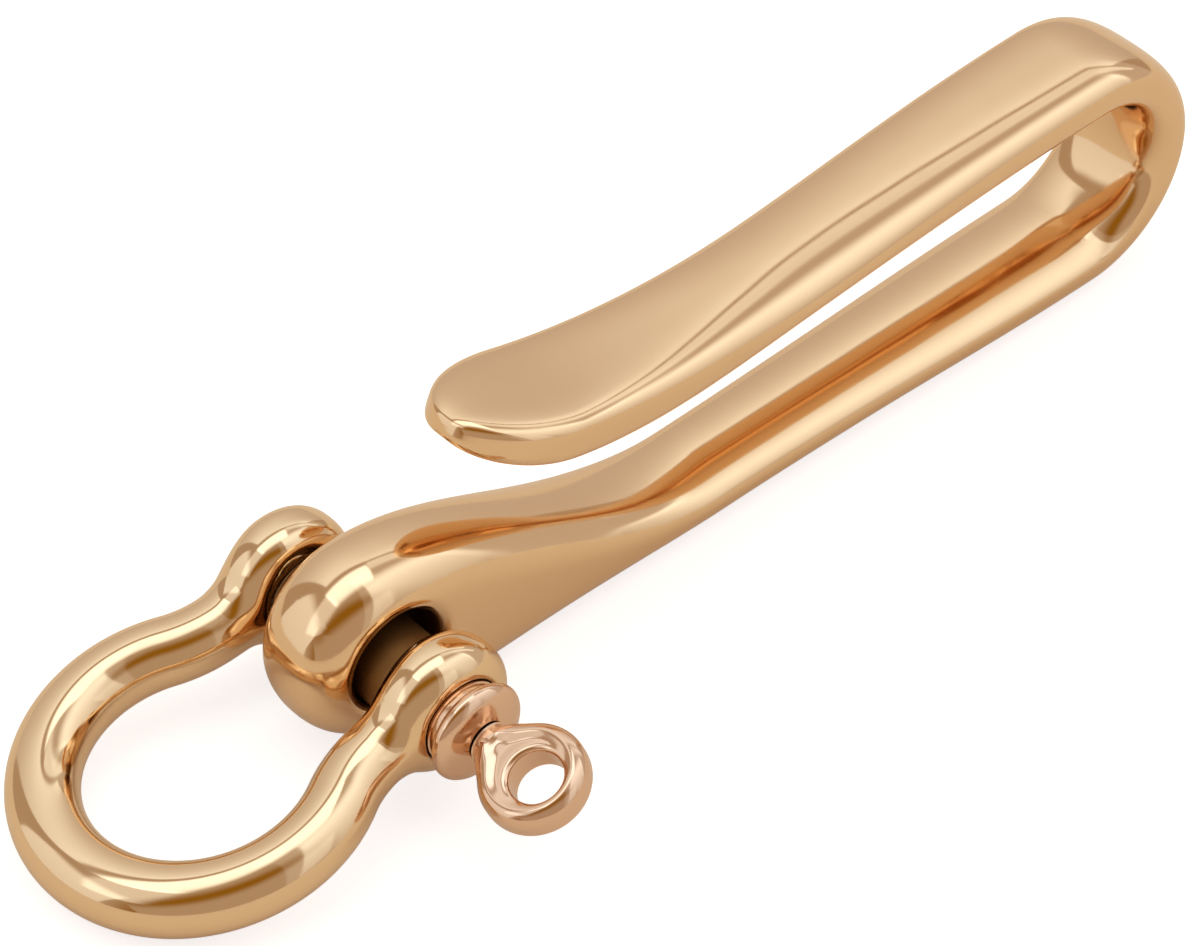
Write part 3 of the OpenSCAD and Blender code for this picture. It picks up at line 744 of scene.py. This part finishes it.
def brass(name, tone, deep, gloss, wave_mm, along, centre, shade_reach, fade=0.2):
    """Polished brass of one tone. wave_mm is the height of the polish's waves. The places nearer
    than the given reach, in mm, to the point centre, where only the directions in along count, get
    painted shade and more roughness, with a soft edge of fade mm."""
    material = bpy.data.materials.new(name)
    material.use_nodes = True
    tree = material.node_tree
    shader = tree.nodes["Principled BSDF"]
    shader.inputs["Metallic"].default_value = 1.0
    group = node(tree, "ShaderNodeGroup", node_tree=polish)
    for key, value in (("Tone", (*tone, 1)), ("Deep Tone", (*deep, 1)), ("Gloss", gloss)):
        group.inputs[key].default_value = value
    here = node(tree, "ShaderNodeTexCoord")
    only = node(tree, "ShaderNodeVectorMath", {1: along}, operation="MULTIPLY")
    reach = node(tree, "ShaderNodeVectorMath", {1: np.array(centre) * MM}, operation="DISTANCE")
    # Inside the reach the mask mixes in the painted shade tone and raises the roughness
    mask = node(tree, "ShaderNodeMapRange", interpolation_type="SMOOTHSTEP",
                inputs={"From Min": (shade_reach + fade) * MM, "From Max": (shade_reach - fade) * MM})
    hue = node(tree, "ShaderNodeMix", data_type="RGBA")
    hue.inputs["B"].default_value = SHADE_TONE
    rough = node(tree, "ShaderNodeMath", {1: DULL_ROUGHNESS}, operation="MULTIPLY_ADD")
    bump = node(tree, "ShaderNodeBump", {"Strength": 1.0, "Distance": wave_mm * MM})
    link(tree, (here.outputs["Object"], only.inputs[0]), (only.outputs[0], reach.inputs[0]),
         (reach.outputs["Value"], mask.inputs["Value"]),
         (mask.outputs["Result"], hue.inputs["Factor"]), (group.outputs["Color"], hue.inputs["A"]),
         (hue.outputs["Result"], shader.inputs["Base Color"]),
         (mask.outputs["Result"], rough.inputs[0]), (group.outputs["Roughness"], rough.inputs[2]),
         (rough.outputs[0], shader.inputs["Roughness"]),
         (group.outputs["Height"], bump.inputs["Height"]),
         (bump.outputs["Normal"], shader.inputs["Normal"]))
    print(f"{name}: tone {tone}, dull within {shade_reach:.2f} mm")
    return material


# The painted shade and the added roughness end just past the walls of the holes, and 1 mm inside
# the ears
EYE_SHADE_REACH, EAR_SHADE_REACH, SHANK_SHADE_REACH = BORE_R + 0.2, SHANK_R + FIT + 0.1, EAR_FACE - EAR_T + 1
EYE_AXIS, PIN_AXIS = (MIDDLE[0], 0, EYE_R), (MIDDLE[0] + PIN_X, 0, PIN_Z)
hook_brass = brass("hook brass", (0.88, 0.615, 0.365), (0.86, 0.585, 0.335), gloss=0.07,
                   wave_mm=0.03, along=(1, 0, 1), centre=EYE_AXIS, shade_reach=EYE_SHADE_REACH)
shackle_brass = brass("shackle brass", (0.88, 0.635, 0.385), (0.86, 0.605, 0.355), gloss=0.06,
                      wave_mm=0.02, along=(1, 0, 1), centre=PIN_AXIS, shade_reach=EAR_SHADE_REACH)
rose_brass = brass("rose brass", (0.84, 0.575, 0.39), (0.82, 0.54, 0.36), gloss=0.1,
                   wave_mm=0.02, along=(0, 1, 0), centre=(0, MIDDLE[1], 0), shade_reach=SHANK_SHADE_REACH,
                   fade=1.6)
belt_hook.data.materials.append(hook_brass)
shackle.data.materials.append(shackle_brass)
screw_pin.data.materials.clear()
screw_pin.data.materials.append(rose_brass)

# %% [markdown]
# ## White table
#
# The clip lies on a white table. Its white is its own faint glow, which only the camera sees in
# full and the metal sees a little of. So the table looks white without more light on the clip, and
# it still takes the clip's soft shadow.

# %% White table
TABLE_HALF, TABLE_Z, GLOW_SEEN, GLOW_MIRRORED = 3, -0.00003, 0.75, 0.1
floor_mesh = bpy.data.meshes.new("floor")
corners = ((-1, -1), (1, -1), (1, 1), (-1, 1))
floor_mesh.from_pydata([(x * TABLE_HALF, y * TABLE_HALF, TABLE_Z) for x, y in corners], [],
                       [(0, 1, 2, 3)])
floor = bpy.data.objects.new("floor", floor_mesh)
bpy.context.scene.collection.objects.link(floor)
table = bpy.data.materials.new("white table")
table.use_nodes = True
tree = table.node_tree
paper = tree.nodes["Principled BSDF"]
for key, value in (("Base Color", (0.78, 0.66, 0.5, 1)), ("Roughness", 0.9),
                   ("Specular IOR Level", 0.1), ("Emission Color", (0.85, 0.93, 1, 1))):
    paper.inputs[key].default_value = value
sight = node(tree, "ShaderNodeLightPath")
seen = node(tree, "ShaderNodeMath", operation="MAXIMUM")
direct = node(tree, "ShaderNodeMath", {1: GLOW_SEEN}, operation="MULTIPLY")
glow = node(tree, "ShaderNodeMath", {1: GLOW_MIRRORED}, operation="MULTIPLY_ADD")
link(tree, (sight.outputs["Is Camera Ray"], seen.inputs[0]),
     (sight.outputs["Is Transmission Ray"], seen.inputs[1]), (seen.outputs[0], direct.inputs[0]),
     (sight.outputs["Is Glossy Ray"], glow.inputs[0]), (direct.outputs[0], glow.inputs[2]),
     (glow.outputs[0], paper.inputs["Emission Strength"]))
floor_mesh.materials.append(table)
print("white table:", 2 * TABLE_HALF, "m wide")

# %% [markdown]
# ## Softboxes
#
# A polished surface shows its surroundings, so the studio is built like a photographer's one: a few
# large softboxes round the clip, each brighter towards one edge. Their own shapes draw the bright
# bands on the metal, and the gaps between them draw the thin dark lines. The boxes are area lamps
# whose strength runs over their width. Planes that glow would do too, but lamps are less noisy.


# %% Directions of the studio
def studio_way(over, along):
    """Unit vectors for a place in the studio. over is the angle from the back edge of the table up
    and over the clip, 90 straight above it and 180 in front of it; along is the angle from the
    middle towards the bend. Returned: the way there, and the ways of growing over and along."""
    f, g = math.radians(over), math.radians(along)
    way = Vector((math.sin(g), math.cos(g) * math.cos(f), math.cos(g) * math.sin(f)))
    up_over = Vector((0, -math.sin(f), math.cos(f)))
    return way, up_over, way.cross(up_over)


# %% One softbox
FAR, COOL = 0.9, (0.79, 1.0, 1.2)


def shade_box(tree, low, high, power, fades):
    """The lamp's strength over its width x, from 0 to 1: low + (high - low) x^power, faded in and
    out over the two shares of the width in fades."""
    spot, part = node(tree, "ShaderNodeNewGeometry"), node(tree, "ShaderNodeSeparateXYZ")
    bend = node(tree, "ShaderNodeMath", {1: power}, operation="POWER")
    level = node(tree, "ShaderNodeMath", {1: high - low, 2: low}, operation="MULTIPLY_ADD")
    link(tree, (spot.outputs["Parametric"], part.inputs[0]), (part.outputs["X"], bend.inputs[0]),
         (bend.outputs[0], level.inputs[0]))
    for edge, share in zip((0, 1), fades):
        fade = node(tree, "ShaderNodeMapRange", {"From Min": edge, "From Max": abs(edge - share)},
                    interpolation_type="SMOOTHSTEP")
        soft = node(tree, "ShaderNodeMath", operation="MULTIPLY")
        link(tree, (part.outputs["X"], fade.inputs["Value"]),
             (fade.outputs["Result"], soft.inputs[1]), (level.outputs[0], soft.inputs[0]))
        level = soft
    link(tree, (level.outputs[0], tree.nodes["Emission"].inputs["Strength"]))


def softbox(name, over, along, across, beside, turn, low, high, power=1.0, fades=(0.02, 0.02)):
    """A rectangular softbox that faces the clip from the place (over, along). It reaches over the
    angles across and beside from there, and is turned about its own middle line. Its brightness
    goes from low at its first edge to high at its last one."""
    way, up_over, up_along = studio_way(over, along)
    c, k = math.cos(math.radians(turn)), math.sin(math.radians(turn))
    up_over, up_along = c * up_over + k * up_along, c * up_along - k * up_over
    x0, x1 = (FAR * math.tan(math.radians(v)) for v in across)
    y0, y1 = (FAR * math.tan(math.radians(v)) for v in beside)
    lamp = bpy.data.lights.new(name, "AREA")
    lamp.shape, lamp.size, lamp.size_y = "RECTANGLE", x1 - x0, y1 - y0
    # At this power a strength of 1 glows as a white wall does
    lamp.energy = math.pi * lamp.size * lamp.size_y
    lamp.use_nodes = True
    lamp.color = COOL
    shade_box(lamp.node_tree, low, high, power, fades)
    box = bpy.data.objects.new(name, lamp)
    bpy.context.scene.collection.objects.link(box)
    middle = way * FAR + up_over * (x0 + x1) / 2 + up_along * (y0 + y1) / 2
    facing = Matrix((up_over, up_along, way)).transposed()
    box.matrix_world = Matrix.Translation(middle) @ facing.to_4x4()
    box.visible_camera = False
    print(f"{name}: {lamp.size:.2f} x {lamp.size_y:.2f} m, brightness {low} to {high}")


# %% All softboxes
softbox("back wall", 14, 0, (-44, 47.5), (-14, 72), -12, 0.17, 0.84, 2.9, (0.05, 0.03))
softbox("arch", 80, 0, (-16.2, 0), (20, 72), -10, 0.64, 0.4, 1.5, (0.03, 0.4))
softbox("overhead", 85, 0, (-19, 20), (-30, 19), -8, 1.36, 0.7, 3.0, (0.12, 0.35))
softbox("front key", 140, 0, (-50, 49.5), (-58, -5), 180, 0.17, 1.42, 1.9, (0.02, 0.3))
softbox("front fill", 130, 0, (-54, 54), (-5, 58), 0, 0.14, 0.14, 1.0, (0.1, 0.1))
softbox("left wall", 10, -55, (-47, 40), (-30, 20), 0, 0.35, 0.65, 1.0, (0.1, 0.15))
softbox("left ceiling", 76, -45, (-12, 22), (-22, 18), -4, 0.5, 0.45, 1.0, (0.1, 0.3))
softbox("camera side", 154, -25, (-27, 34), (-52, 50), 0, 0.25, 0.25, 1.0, (0.35, 0.2))
softbox("right end", 145, 66, (-50, 38), (-12, 20), 0, 0.15, 0.2, 1.0, (0.3, 0.1))

# %% [markdown]
# ## The room
#
# Behind the softboxes the room is plain, with a darker corner where the camera stands. It is warm
# where it is dark, as a workshop is, and the softboxes are a little cool, so that both together
# are white at a middle brightness. The world's Background does this with two nodes more.

# %% Warm room with a dark corner
ROOM, CORNER, WARM = 0.37, 0.14, (0.18, 0, -0.16)
CORNER_PLACE, CORNER_EDGES = (172, -27), [math.cos(math.radians(v)) for v in (66, 47)]
world = bpy.data.worlds.new("studio")
bpy.context.scene.world = world
world.use_nodes = True
tree = world.node_tree
look = node(tree, "ShaderNodeTexCoord")
toward = node(tree, "ShaderNodeVectorMath", {1: studio_way(*CORNER_PLACE)[0]},
              operation="DOT_PRODUCT")
corner = node(tree, "ShaderNodeMapRange", interpolation_type="SMOOTHSTEP",
              inputs={"From Min": CORNER_EDGES[0], "From Max": CORNER_EDGES[1],
                      "To Min": ROOM, "To Max": CORNER})
warm = node(tree, "ShaderNodeVectorMath", {1: COOL, 2: WARM}, operation="MULTIPLY_ADD")
link(tree, (look.outputs["Generated"], toward.inputs[0]),
     (toward.outputs["Value"], corner.inputs["Value"]), (corner.outputs["Result"], warm.inputs[0]),
     (warm.outputs[0], tree.nodes["Background"].inputs["Color"]))
print("room:", ROOM, "with a corner of", CORNER)

# %% [markdown]
# ## Camera
#
# The photographer stood about a third of a metre off, in front and above, with a long lens. The
# camera's place and turn were found by laying the outlines of the model over those of the photo.
# A camera could also be set by eye, but then shapes and lens make up for each other's errors.

# %% Camera
VIEW_AZIMUTH, VIEW_HEIGHT, VIEW_ROLL = (math.radians(v) for v in (-41.4, 44.228, -1.162))
VIEW_DISTANCE, VIEW_SCALE, VIEW_SIDE, VIEW_UP = 349.905, 14.753, -5.399, -2.286
LOOK_AT, IMAGE_WIDTH = np.array([28.0, 0, 6.0]), 1200
level = math.cos(VIEW_HEIGHT)
back = np.array([math.sin(VIEW_AZIMUTH) * level, -math.cos(VIEW_AZIMUTH) * level,
                 math.sin(VIEW_HEIGHT)])
right = np.array([math.cos(VIEW_AZIMUTH), math.sin(VIEW_AZIMUTH), 0])
up = np.cross(back, right)
aim = LOOK_AT + VIEW_SIDE * right + VIEW_UP * up + MIDDLE
c, k = math.cos(VIEW_ROLL), math.sin(VIEW_ROLL)
turn = Matrix((c * right + k * up, -k * right + c * up, back)).transposed()
lens = bpy.data.cameras.new("camera")
lens.sensor_fit, lens.sensor_width = "HORIZONTAL", 36
lens.lens = VIEW_SCALE * VIEW_DISTANCE / IMAGE_WIDTH * lens.sensor_width
lens.clip_start, lens.clip_end = 0.01, 20
camera = bpy.data.objects.new("camera", lens)
bpy.context.scene.collection.objects.link(camera)
camera.matrix_world = Matrix.Translation(Vector((aim + back * VIEW_DISTANCE) * MM)) @ turn.to_4x4()
bpy.context.scene.camera = camera
bpy.context.scene.view_settings.view_transform = "Standard"
print("lens", round(lens.lens, 1), "mm, camera at", [round(v, 4) for v in camera.location])
